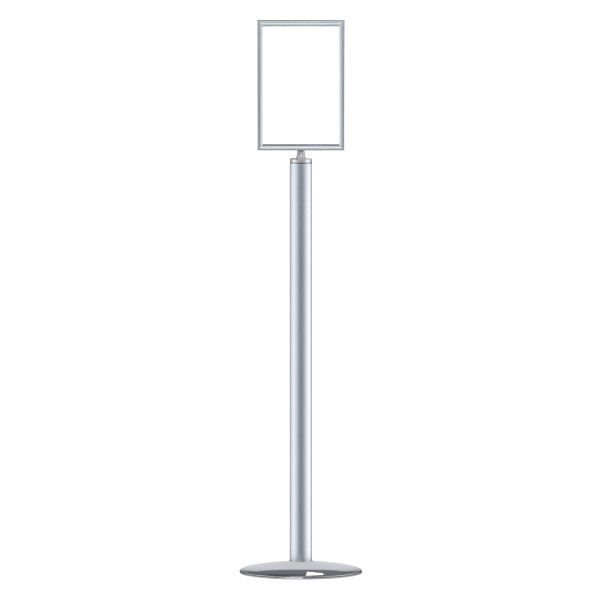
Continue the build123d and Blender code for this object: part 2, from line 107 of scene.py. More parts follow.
class NodeTree:
    """Thin wrapper that adds and joins the nodes of one material."""

    def __init__(self, name: str) -> None:
        """Start a material.

        Args:
            name: Name of the material.
        """
        self.material = bpy.data.materials.new(name)
        self.material.use_nodes = True
        self.nodes = self.material.node_tree.nodes
        self.links = self.material.node_tree.links
        self.shader = self.nodes["Principled BSDF"]

    def add(self, kind: str, **settings: object) -> bpy.types.Node:
        """Add a node.

        Args:
            kind: Type of the node without its "ShaderNode" prefix.
            **settings: Properties of the node, or values for its inputs by name with _ for a space.

        Returns:
            The new node.
        """
        node = self.nodes.new("ShaderNode" + kind)
        for key, value in settings.items():
            if hasattr(node, key):
                setattr(node, key, value)
            else:
                node.inputs[key.replace("_", " ")].default_value = value
        return node

    def join(self, source: bpy.types.NodeSocket, target: bpy.types.NodeSocket) -> None:
        """Link two sockets."""
        self.links.new(source, target)

    def give(self, values: dict[str, object]) -> None:
        """Set inputs of the shader by name."""
        for name, value in values.items():
            self.shader.inputs[name].default_value = value

    def math(self, operation: str, *values: bpy.types.NodeSocket | float) -> bpy.types.NodeSocket:
        """Result of a sum.

        Args:
            operation: Kind of sum.
            *values: Sockets or numbers.

        Returns:
            The result socket.
        """
        node = self.add("Math", operation=operation)
        for value, target in zip(values, node.inputs):
            if isinstance(value, float):
                target.default_value = value
            else:
                self.join(value, target)
        return node.outputs["Value"]

    def axes(self) -> list[bpy.types.NodeSocket]:
        """Object coordinates one by one: x, y and z."""
        split = self.add("SeparateXYZ")
        self.join(self.object_position(), split.inputs["Vector"])
        return list(split.outputs)

    def object_position(self, scale: Sequence[float] = (1.0, 1.0, 1.0)) -> bpy.types.NodeSocket:
        """Object coordinates, stretched.

        Args:
            scale: Factor along each axis.

        Returns:
            The vector socket.
        """
        coordinates = self.add("TexCoord")
        mapping = self.add("Mapping")
        mapping.inputs["Scale"].default_value = scale
        self.join(coordinates.outputs["Object"], mapping.inputs["Vector"])
        return mapping.outputs["Vector"]

    def noise(
        self, vector: bpy.types.NodeSocket, scale: float, detail: float = 3.0
    ) -> bpy.types.NodeSocket:
        """Noise pattern.

        Args:
            vector: Where it is read.
            scale: Features per metre.
            detail: Octaves.

        Returns:
            The factor socket.
        """
        node = self.add("TexNoise", Scale=scale, Detail=detail)
        self.join(vector, node.inputs["Vector"])
        return node.outputs["Fac"]

    def remap(
        self, value: bpy.types.NodeSocket, source: Point, result: Point = (0.0, 1.0), **settings: object
    ) -> bpy.types.NodeSocket:
        """Map a value from one range to another.

        Args:
            value: The value.
            source: First and last value of the range that it has.
            result: What these become.
            **settings: Properties of the node.

        Returns:
            The result socket.
        """
        node = self.add("MapRange", **settings)
        self.join(value, node.inputs["Value"])
        for name, end in zip(("From Min", "From Max", "To Min", "To Max"), (*source, *result)):
            node.inputs[name].default_value = end
        return node.outputs["Result"]

    def spread(self, factor: bpy.types.NodeSocket, low: float, high: float) -> bpy.types.NodeSocket:
        """Map the middle of a pattern to a range.

        Args:
            factor: Pattern between 0 and 1.
            low: Result at PATTERN_LOW.
            high: Result at PATTERN_HIGH.

        Returns:
            The result socket.
        """
        return self.remap(factor, (PATTERN_LOW, PATTERN_HIGH), (low, high))

    def tint(self, factor: bpy.types.NodeSocket, low: Sequence[float], high: Sequence[float]) -> None:
        """Colour the shader between two colours by a pattern."""
        mix = self.add("Mix", data_type="RGBA")
        self.join(factor, mix.inputs["Factor"])
        mix.inputs[MIX_A].default_value = (*low, 1.0)
        mix.inputs[MIX_B].default_value = (*high, 1.0)
        self.join(mix.outputs[MIX_RESULT], self.shader.inputs["Base Color"])

    def roughen(self, factor: bpy.types.NodeSocket, low: float, high: float) -> None:
        """Spread the shader's roughness between two values by a pattern."""
        self.join(self.spread(factor, low, high), self.shader.inputs["Roughness"])

    def relief(self, heights: Iterable[tuple[bpy.types.NodeSocket, float]]) -> None:
        """Chain bump nodes into the shader's normal.

        Args:
            heights: Pairs of a height pattern and its depth in metres.
        """
        normal = None
        for height, depth in heights:
            bump = self.add("Bump")
            bump.inputs["Strength"].default_value = 1.0
            bump.inputs["Distance"].default_value = depth
            self.join(height, bump.inputs["Height"])
            if normal is not None:
                self.join(normal, bump.inputs["Normal"])
            normal = bump.outputs["Normal"]
        self.join(normal, self.shader.inputs["Normal"])


def uneven_pair(colour: Sequence[float], uneven: float) -> tuple[tuple[float, ...], tuple[float, ...]]:
    """Slightly darker and slightly lighter version of a colour."""
    return shade(colour, 1.0 - uneven), shade(colour, 1.0 + uneven)


def shade(colour: Sequence[float], factor: float) -> tuple[float, ...]:
    """Colour made lighter or darker.

    Args:
        colour: Red, green and blue.
        factor: What each is multiplied by.

    Returns:
        The new colour, at most 1.
    """
    return tuple(min(1.0, channel * factor) for channel in colour)


@dataclass(frozen=True)
class DrawnMetal:
    """Satin metal with fine lines from drawing, extruding or turning."""

    name: str
    colour: tuple[float, float, float]
    roughness: float
    grain: Grain
    lines_per_metre: float = 2500.0
    line_depth: float = 0.0000015
    uneven: float = 0.03
    stretch: float = 0.7
    clouds_per_metre: float = 9.0
    specks_per_metre: float = 4000.0
    line_roughness: float = 0.03
    cloud_roughness: float = 0.015

    def build(self) -> bpy.types.Material:
        """Make the material."""
        tree = NodeTree(self.name)
        rotation = 0.25 if self.grain is Grain.TURNED else 0.0
        tree.give({
            "Metallic": 1.0, "Anisotropic": self.stretch, "Anisotropic Rotation": rotation,
        })
        axis = "X" if self.grain is Grain.ALONG_X else "Z"
        across = tree.add("Tangent", direction_type="RADIAL", axis=axis)
        tree.join(across.outputs["Tangent"], tree.shader.inputs["Tangent"])
        lines = tree.noise(tree.object_position(self.grain.value), self.lines_per_metre, 2.0)
        cloud = tree.noise(tree.object_position(), self.clouds_per_metre, 4.0)
        specks = tree.noise(tree.object_position(), self.specks_per_metre, 1.0)
        tree.tint(cloud, *uneven_pair(self.colour, self.uneven))
        smooth, coarse = self.roughness - self.line_roughness, self.roughness + self.line_roughness
        streaks = tree.spread(lines, smooth, coarse)
        patches = tree.spread(cloud, -self.cloud_roughness, self.cloud_roughness)
        tree.join(tree.math("ADD", streaks, patches), tree.shader.inputs["Roughness"])
        tree.relief(((lines, self.line_depth), (specks, self.line_depth * 0.5)))
        return tree.material


@dataclass(frozen=True)
class PolishedChrome:
    """Bright plating over spun metal: faint spinning lines, ripples and handling marks."""

    name: str
    colour: tuple[float, float, float]
    roughness: float
    rings_per_metre: float = 150.0
    ring_depth: float = 0.0000006
    ripples_per_metre: float = 14.0
    ripple_depth: float = 0.00006
    marks_per_metre: float = 60.0

    def build(self) -> bpy.types.Material:
        """Make the material."""
        tree = NodeTree(self.name)
        tree.shader.inputs["Metallic"].default_value = 1.0
        position = tree.object_position()
        marks = tree.noise(position, self.marks_per_metre, 6.0)
        ripple = tree.noise(position, self.ripples_per_metre, 1.0)
        rings = tree.add("TexWave", wave_type="RINGS", rings_direction="Z", Scale=self.rings_per_metre)
        rings.inputs["Distortion"].default_value = 0.4
        tree.join(position, rings.inputs["Vector"])
        tree.tint(marks, shade(self.colour, 0.97), self.colour)
        tree.roughen(marks, self.roughness * 0.6, self.roughness * 1.6)
        tree.relief(((ripple, self.ripple_depth), (rings.outputs["Fac"], self.ring_depth)))
        return tree.material


@dataclass(frozen=True)
class Moulded:
    """Plastic, rubber, paint or paper: a dull coloured surface with a fine texture."""

    name: str
    colour: tuple[float, float, float]
    roughness: float
    grain_per_metre: float = 1500.0
    grain_depth: float = 0.00001
    uneven: float = 0.04
    clouds_per_metre: float = 12.0
    grain_roughness: float = 0.06

    def build(self) -> bpy.types.Material:
        """Make the material."""
        tree = NodeTree(self.name)
        position = tree.object_position()
        grain = tree.noise(position, self.grain_per_metre, 4.0)
        cloud = tree.noise(position, self.clouds_per_metre, 3.0)
        tree.tint(cloud, *uneven_pair(self.colour, self.uneven))
        tree.roughen(grain, self.roughness - self.grain_roughness, self.roughness + self.grain_roughness)
        tree.relief(((grain, self.grain_depth),))
        return tree.material


@dataclass(frozen=True)
class CastIron:
    """Painted sand casting: pitted and lumpy."""

    name: str
    colour: tuple[float, float, float]
    roughness: float
    sand_per_metre: float = 900.0
    sand_depth: float = 0.0002
    lumps_per_metre: float = 45.0
    lump_depth: float = 0.0006

    def build(self) -> bpy.types.Material:
        """Make the material."""
        tree = NodeTree(self.name)
        position = tree.object_position()
        sand = tree.noise(position, self.sand_per_metre, 5.0)
        lumps = tree.noise(position, self.lumps_per_metre, 3.0)
        tree.tint(lumps, shade(self.colour, 0.8), shade(self.colour, 1.25))
        tree.roughen(sand, self.roughness - 0.1, self.roughness + 0.1)
        tree.relief(((lumps, self.lump_depth), (sand, self.sand_depth)))
        return tree.material


@dataclass(frozen=True)
class ClearSheet:
    """Clear plastic sheet with faint ripples and wiping marks."""

    name: str
    colour: tuple[float, float, float]
    opacity: float
    refraction: float = 1.49
    ripples_per_metre: float = 18.0
    ripple_depth: float = 0.00003
    marks_per_metre: float = 140.0
    roughness: tuple[float, float] = (0.03, 0.09)

    def build(self) -> bpy.types.Material:
        """Make the material."""
        tree = NodeTree(self.name)
        tree.material.surface_render_method = "BLENDED"
        tree.give({"IOR": self.refraction, "Alpha": self.opacity})
        position = tree.object_position()
        ripple = tree.noise(position, self.ripples_per_metre, 1.0)
        marks = tree.noise(position, self.marks_per_metre, 5.0)
        tree.tint(ripple, shade(self.colour, 0.99), self.colour)
        tree.roughen(marks, *self.roughness)
        tree.relief(((ripple, self.ripple_depth),))
        return tree.material


FINISHES: dict[str, DrawnMetal | PolishedChrome | Moulded | CastIron | ClearSheet] = {
    "rubber_pad": Moulded("pad_rubber", (0.028, 0.028, 0.030), 0.82, 900.0, 0.00005),
    "weight_iron": CastIron("weight_casting", (0.055, 0.055, 0.060), 0.62),
    "cover_chrome": PolishedChrome("base_chrome", (0.62, 0.62, 0.63), 0.045),
    "fastener_steel": DrawnMetal("zinc_fasteners", (0.60, 0.60, 0.60), 0.32, Grain.TURNED, 3000.0),
    "spring_steel": DrawnMetal("spring_strip", (0.45, 0.45, 0.47), 0.26, Grain.ALONG_Z, 2500.0),
    "plug_aluminium": DrawnMetal("turned_plugs", (0.70, 0.71, 0.73), 0.30, Grain.TURNED, 1800.0),
    "post_aluminium": DrawnMetal("post_anodising", (0.78, 0.81, 0.86), 0.27, Grain.ALONG_Z),
    "cap_aluminium": DrawnMetal("cap_anodising", (0.82, 0.83, 0.85), 0.22, Grain.TURNED, 2600.0),
    "stem_aluminium": DrawnMetal("stem_turning", (0.82, 0.81, 0.80), 0.24, Grain.TURNED, 2600.0),
    "core_aluminium": DrawnMetal("core_anodising", (0.72, 0.74, 0.77), 0.30, Grain.ALONG_Z),
    "rail_aluminium": DrawnMetal("rail_anodising_upright", (0.87, 0.89, 0.91), 0.24, Grain.ALONG_Z),
    "bush_acetal": Moulded("bush_acetal", (0.85, 0.85, 0.82), 0.35, 800.0, 0.000002),
    "ring_nylon": Moulded("ring_nylon", (0.018, 0.018, 0.020), 0.5, 1200.0, 0.000004),
    "panel_white": Moulded("divider_plastic", (0.86, 0.86, 0.86), 0.45, 900.0, 0.000004, 0.01),
    "sheet_paper": Moulded("blank_insert", (0.94, 0.94, 0.94), 0.75, 1600.0, 0.000008, 0.006),
    "cover_clear": ClearSheet("clear_cover", (0.96, 0.98, 0.98), 0.12),
}
LYING_RAIL = DrawnMetal("rail_anodising_level", (0.87, 0.89, 0.91), 0.24, Grain.ALONG_X)
LYING_CORE = DrawnMetal("core_anodising_level", (0.72, 0.74, 0.77), 0.30, Grain.ALONG_X)


class Paintbox:
    """Makes each finish once and hands it out by slot."""

    def __init__(self, record: dict) -> None:
        """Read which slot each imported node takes.

        Args:
            record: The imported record.
        """
        self.slots = {part["node"]: part["material_slot"] for part in record["subparts"]}
        self.made: dict[str, bpy.types.Material] = {}

    def material(self, slot: str, level: bool = False) -> bpy.types.Material:
        """Material of a slot.

        Args:
            slot: The record's slot.
            level: Whether the piece is a level bar or rail, whose lines run along x.

        Returns:
            The material.
        """
        finish = FINISHES[slot]
        if level and slot == "rail_aluminium":
            finish = LYING_RAIL
        if level and slot == "core_aluminium":
            finish = LYING_CORE
        if finish.name not in self.made:
            self.made[finish.name] = finish.build()
        return self.made[finish.name]

    def dress(self, piece: bpy.types.Object, slot: str, level: bool = False) -> None:
        """Give a piece one material."""
        piece.data.materials.clear()
        piece.data.materials.append(self.material(slot, level))


# ---------------------------------------------------------------- shapes


def arc_run(
    start: Point, heading: float, arcs: Sequence[Point], inset: float, steps: int
) -> list[Point]:
    """Points of tangent arcs that turn right.

    Args:
        start: First point of the run before it is inset.
        heading: Direction at the start, in degrees.
        arcs: Radius and end heading of each arc.
        inset: How far the run lies to the right of the given one.
        steps: Points on each arc.

    Returns:
        The points, with the start.
    """
    turn = math.radians(heading)
    a = start[0] + inset * math.sin(turn)
    b = start[1] - inset * math.cos(turn)
    points = [(a, b)]
    for radius, end_heading in arcs:
        reach = radius - inset
        end = math.radians(end_heading)
        for step in range(1, steps + 1):
            angle = turn + (end - turn) * step / steps
            points.append((
                a + reach * (math.sin(turn) - math.sin(angle)),
                b + reach * (math.cos(angle) - math.cos(turn)),
            ))
        a, b = points[-1]
        turn = end
    return points


def round_points(centre: Point, radius: float, first: float, last: float, steps: int) -> list[Point]:
    """Points on a circle from one angle to another, in degrees.

    Args:
        centre: Centre of the circle.
        radius: Its radius.
        first: First angle.
        last: Last angle.
        steps: Number of steps.

    Returns:
        The points.
    """
    points = []
    for step in range(steps + 1):
        angle = math.radians(first + (last - first) * step / steps)
        points.append((centre[0] + radius * math.cos(angle), centre[1] + radius * math.sin(angle)))
    return points


def finished(mesh_builder: bmesh.types.BMesh, name: str, sharp: float = 30.0) -> bpy.types.Object:
    """Turn a bmesh into a linked object with smooth faces and sharp edges past an angle.

    Args:
        mesh_builder: The bmesh, which is freed.
        name: Name of the piece.
        sharp: Smallest angle of a sharp edge, in degrees.

    Returns:
        The object.
    """
    mesh = bpy.data.meshes.new(name)
    mesh_builder.to_mesh(mesh)
    mesh_builder.free()
    mesh.polygons.foreach_set("use_smooth", [True] * len(mesh.polygons))
    mesh.set_sharp_from_angle(angle=math.radians(sharp))
    piece = bpy.data.objects.new(name, mesh)
    bpy.context.scene.collection.objects.link(piece)
    return piece


def revolved(outline: Sequence[Point], steps: int, closed: bool) -> bmesh.types.BMesh:
    """Surface swept by an outline about z.

    Args:
        outline: Radius and height of its points, in metres.
        steps: Steps of the full turn.
        closed: Whether the last point joins the first.

    Returns:
        The bmesh.
    """
    builder = bmesh.new()
    corners = [builder.verts.new((radius, 0.0, height)) for radius, height in outline]
    first = 0 if closed else 1
    edges = [builder.edges.new((corners[i - 1], corners[i])) for i in range(first, len(corners))]
    bmesh.ops.spin(
        builder, geom=corners + edges, axis=(0.0, 0.0, 1.0), cent=(0.0, 0.0, 0.0),
        angle=2.0 * math.pi, steps=steps, use_merge=True,
    )
    return builder


def spun(outline: Sequence[Point], steps: int) -> bmesh.types.BMesh:
    """Solid of revolution about z.

    Args:
        outline: Closed outline of radius and height, in metres.
        steps: Steps of the full turn.

    Returns:
        The bmesh with outward normals.
    """
    builder = revolved(outline, steps, True)
    bmesh.ops.remove_doubles(builder, verts=builder.verts, dist=1e-7)
    bmesh.ops.dissolve_degenerate(builder, edges=builder.edges, dist=1e-8)
    bmesh.ops.recalc_face_normals(builder, faces=builder.faces)
    return builder


def prism(corners: Sequence[Sequence[float]], along: Sequence[float]) -> bmesh.types.BMesh:
    """Flat outline pushed along a direction.

    Args:
        corners: Points of the outline, in metres.
        along: How far it is pushed.

    Returns:
        The bmesh with outward normals.
    """
    builder = bmesh.new()
    face = builder.faces.new([builder.verts.new(corner) for corner in corners])
    made = bmesh.ops.extrude_face_region(builder, geom=[face])
    moved = [item for item in made["geom"] if isinstance(item, bmesh.types.BMVert)]
    bmesh.ops.translate(builder, verts=moved, vec=along)
    bmesh.ops.recalc_face_normals(builder, faces=builder.faces)
    return builder


def block(low: Vector, high: Vector) -> bmesh.types.BMesh:
    """Box between two corners."""
    builder = bmesh.new()
    size = Matrix.Diagonal((*(high - low), 1.0))
    place = Matrix.Translation((low + high) / 2.0)
    bmesh.ops.create_cube(builder, size=1.0, matrix=place @ size)
    return builder


def cut_off(builder: bmesh.types.BMesh, point: Vector, normal: Vector) -> None:
    """Cut away what lies beyond a plane and close the cut.

    Args:
        builder: The bmesh.
        point: A point of the plane.
        normal: Direction that is cut away.
    """
    everything = list(builder.verts) + list(builder.edges) + list(builder.faces)
    cut = bmesh.ops.bisect_plane(
        builder, geom=everything, dist=1e-8, plane_co=point, plane_no=normal, clear_outer=True
    )
    rim = [item for item in cut["geom_cut"] if isinstance(item, bmesh.types.BMEdge)]
    bmesh.ops.contextual_create(builder, geom=rim)
    bmesh.ops.recalc_face_normals(builder, faces=builder.faces)


def drilled(piece: bpy.types.Object, tools: Sequence[bpy.types.Object]) -> None:
    """Cut tools out of a piece for good and remove them.

    Args:
        piece: The piece, whose mesh is renewed.
        tools: Closed tool objects.
    """
    for tool in tools:
        change = piece.modifiers.new("cut", "BOOLEAN")
        change.operation = "DIFFERENCE"
        change.solver = "EXACT"
        change.object = tool
    evaluated = piece.evaluated_get(bpy.context.evaluated_depsgraph_get())
    mesh = bpy.data.meshes.new_from_object(evaluated)
    mesh.name = piece.name
    piece.modifiers.clear()
    old = piece.data
    piece.data = mesh
    bpy.data.meshes.remove(old)
    for tool in tools:
        bpy.data.objects.remove(tool)


def rod(radius: float, start: Vector, end: Vector, sides: int = 48) -> bpy.types.Object:
    """Round tool between two points.

    Args:
        radius: Its radius.
        start: Centre of one end.
        end: Centre of the other end.
        sides: Sides of the round.

    Returns:
        The tool object.
    """
    builder = bmesh.new()
    turn = (end - start).to_track_quat("Z", "Y").to_matrix().to_4x4()
    bmesh.ops.create_cone(
        builder, cap_ends=True, segments=sides, radius1=radius, radius2=radius,
        depth=(end - start).length, matrix=Matrix.Translation((start + end) / 2.0) @ turn,
    )
    return finished(builder, "tool")


class Workshop:
    """Installs finished pieces on their bodies."""

    def __init__(self, frame: dict) -> None:
        """Keep the frame and make the paintbox.
        """
        self.nodes = frame["nodes"]
        self.paint = Paintbox(frame["record"])

    def install(self, piece: bpy.types.Object, body: str, node: str, level: bool = False) -> None:
        """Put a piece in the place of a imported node.

        Args:
            piece: The finished piece.
            body: Body that carries it.
            node: Node that it stands for.
            level: Whether its lines run along x.
        """
        slot = self.paint.slots[node]
        self.paint.dress(piece, slot, level)
        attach(piece, body)
        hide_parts(node)
        log.info("%s stands for %s on %s", piece.name, node, body)

    def dress_kept_nodes(self) -> None:
        """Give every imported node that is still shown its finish."""
        for name, node in self.nodes.items():
            level = name.endswith(("_top", "_bottom"))
            self.paint.dress(node, self.paint.slots[name], level)
            log.info("%s keeps its shape", name)


# ---------------------------------------------------------------- sub-assemblies


@dataclass
class WeightedBase:
    """Chromed cover and rubber pad of the base."""

    cover_wall: float = 1.0 * MM
    hole_gap: float = 0.4 * MM
    crown_heading: float = -7.2
    crown: Point = (13884.0 * MM, -7.5)
    shoulder: tuple[Point, ...] = ((292.0 * MM, -14.5), (36.3 * MM, -32.0), (5.0 * MM, -90.0))
    roll_radius: float = 4.0 * MM
    hem: float = 7.5 * MM
    arc_steps: int = 12
    turn_steps: int = 192
    pad_width: float = 107.0 * MM
    pad_edge: float = 0.5 * MM
    rib_pitch: float = 6.0 * MM
    rib_depth: float = 0.8 * MM
    rib_shape: tuple[Point, ...] = ((0.0, 0.0), (0.1, 1.0), (0.4, 1.0), (0.5, 0.0))

    def cover(self) -> bpy.types.Object:
        """Spin the cover: crown, shoulder, rolled edge and hem, with its wall.

        Returns:
            The cover.
        """
        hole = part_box("post_tube")[1].x + self.hole_gap
        start = (hole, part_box("base_cover")[1].z)
        arcs = (self.crown, *self.shoulder, (self.roll_radius, -180.0))
        outer = arc_run(start, self.crown_heading, arcs, 0.0, self.arc_steps)
        inner = arc_run(start, self.crown_heading, arcs, self.cover_wall, self.arc_steps)
        inner[0] = (hole, inner[0][1])
        hem_edge = outer[-1][0] - self.hem
        outline = outer + [(hem_edge, outer[-1][1]), (hem_edge, inner[-1][1])] + inner[::-1]
        return finished(spun(outline, self.turn_steps), "chrome_cover", 40.0)

    def pad(self) -> bpy.types.Object:
        """Spin the rubber pad with ribs on its underside.

        Returns:
            The pad.
        """
        low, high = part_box("floor_pad")
        outer = high.x
        inner = outer - self.pad_width
        outline = [(inner, high.z), (inner, low.z)]
        radius = inner + self.rib_pitch
        pitch, depth = self.rib_pitch, self.rib_depth
        while radius < outer - pitch:
            outline += [(radius + pitch * u, low.z + depth * v) for u, v in self.rib_shape]
            radius += pitch
        outline += [(outer - self.pad_edge, low.z), (outer, low.z + self.pad_edge), (outer, high.z)]
        return finished(spun(outline, self.turn_steps), "ribbed_pad", 25.0)

    def build(self, shop: Workshop) -> None:
        """Build and install the pieces."""
        shop.install(self.cover(), "stand", "base_cover")
        shop.install(self.pad(), "stand", "floor_pad")


@dataclass
class Post:
    """The post's tube with its screw holes."""

    wall: float = 2.0 * MM
    edge: float = 0.3 * MM
    hole_radius: float = 2.6 * MM
    overrun: float = 5.0 * MM
    screw_angles: tuple[float, ...] = (60.0, 120.0)
    collar: float = 7.0 * MM
    foot_nodes: tuple[str, ...] = ("foot_plug", "foot_plug_screws", "base_bolt", "base_weight")
    turn_steps: int = 160

    def tube(self) -> bpy.types.Object:
        """Spin the tube and drill it for the plug's screws.

        Returns:
            The tube.
        """
        low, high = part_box("post_tube")
        outer, inner = high.x, high.x - self.wall
        edge = self.edge
        screws_low, screws_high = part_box("top_plug_screws")
        height = (screws_low.z + screws_high.z) / 2.0
        below, above = height - self.collar, height + self.collar
        outline = [
            (inner, low.z + edge), (inner + edge, low.z), (outer - edge, low.z), (outer, low.z + edge),
            (outer, below), (outer, above), (outer, high.z - edge), (outer - edge, high.z),
            (inner + edge, high.z), (inner, high.z - edge), (inner, above), (inner, below),
        ]
        tube = finished(spun(outline, self.turn_steps), "satin_post", 25.0)
        tools = []
        for angle in self.screw_angles:
            outward = Vector((math.cos(math.radians(angle)), math.sin(math.radians(angle)), 0.0))
            start = Vector((0.0, 0.0, height)) + outward * (inner - self.overrun)
            end = start + outward * (self.wall + 2.0 * self.overrun)
            tools.append(rod(self.hole_radius, start, end))
        drilled(tube, tools)
        return tube

    def build(self, shop: Workshop) -> None:
        """Build and install the tube, and keep it and its foot out of the chrome's reflections."""
        tube = self.tube()
        shop.install(tube, "stand", "post_tube")
        for part in (tube, *(shop.nodes[name] for name in self.foot_nodes)):
            part.visible_glossy = False


@dataclass
class Swivel:
    """Cap, ring and stem between the post and the frame."""

    bore: float = 6.0 * MM
    round_over: float = 1.2 * MM
    chamfer: float = 0.4 * MM
    ring_bore: float = 12.3 * MM
    stem_foot: float = 12.0 * MM
    stem_head: float = 8.6 * MM
    stem_collar: float = 1.0 * MM
    stud_radius: float = 2.5 * MM
    thread_radius: float = 5.0 * MM
    shoulder_height: float = 960.0 * MM
    land: float = 4.3 * MM
    bevel_slope: float = 0.6
    spindle_chamfer: float = 0.8 * MM
    foot_chamfer: float = 0.3 * MM
    screw_radius: float = 2.0 * MM
    screw_air: float = 0.05 * MM
    drill_reach: float = 20.0 * MM
    turn_steps: int = 128

    def cap(self) -> bpy.types.Object:
        """Spin the round cap with its rounded upper edge."""
        low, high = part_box("swivel_cap")
        outer, soft = high.x, self.round_over
        outline = [(self.bore, low.z), (outer - self.chamfer, low.z), (outer, low.z + self.chamfer)]
        outline += round_points((outer - soft, high.z - soft), soft, 0.0, 90.0, 8)
        outline += [(self.bore, high.z)]
        return finished(spun(outline, self.turn_steps), "round_cap")

    def ring(self) -> bpy.types.Object:
        """Spin the thin nylon ring with rounded outer edges."""
        low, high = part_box("swivel_ring")
        soft = (high.z - low.z) * 0.3
        outline = [(self.ring_bore, high.z), (self.ring_bore, low.z)]
        outline += round_points((high.x - soft, low.z + soft), soft, -90.0, 0.0, 4)
        outline += round_points((high.x - soft, high.z - soft), soft, 0.0, 90.0, 4)
        return finished(spun(outline, self.turn_steps), "nylon_ring")

    def stem(self) -> bpy.types.Object:
        """Spin the stem and spindle, bevel its head and drill its screw hole.

        Returns:
            The stem.
        """
        low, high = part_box("swivel_stem")
        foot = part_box("swivel_cap")[1].z
        stud_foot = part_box("head_stud")[0].z
        screw_low, screw_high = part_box("stem_set_screw")
        outline = [
            (0.0, low.z), (self.thread_radius - self.spindle_chamfer, low.z),
            (self.thread_radius, low.z + self.spindle_chamfer),
            (self.thread_radius, self.shoulder_height),
            (self.bore, self.shoulder_height), (self.bore, foot),
            (self.stem_foot - self.foot_chamfer, foot), (self.stem_foot, foot + self.foot_chamfer),
            (self.stem_foot, foot + self.stem_collar), (self.stem_head, high.z),
            (self.stud_radius, high.z), (self.stud_radius, stud_foot), (0.0, stud_foot),
        ]
        stem = finished(spun(outline, self.turn_steps), "turned_stem")
        drop = self.bevel_slope * (self.stem_foot - self.land)
        tools = []
        for sign in (-1.0, 1.0):
            wide = sign * self.stem_foot
            side = ((sign * self.land, high.z), (wide, high.z - drop), (wide, high.z + drop))
            corners = [(-self.stem_foot, y, z) for y, z in side]
            tools.append(finished(prism(corners, (2.0 * self.stem_foot, 0.0, 0.0)), "tool"))
        screw = Vector((0.0, 0.0, (screw_low.z + screw_high.z) / 2.0))
        front = screw + Vector((0.0, -self.drill_reach, 0.0))
        tools.append(rod(self.screw_radius + self.screw_air, screw, front))
        drilled(stem, tools)
        stem.data.set_sharp_from_angle(angle=math.radians(30.0))
        return stem

    def build(self, shop: Workshop) -> None:
        """Build and install the pieces."""
        shop.install(self.cap(), "head", "swivel_cap")
        shop.install(self.ring(), "stand", "swivel_ring")
        shop.install(self.stem(), "head", "swivel_stem")


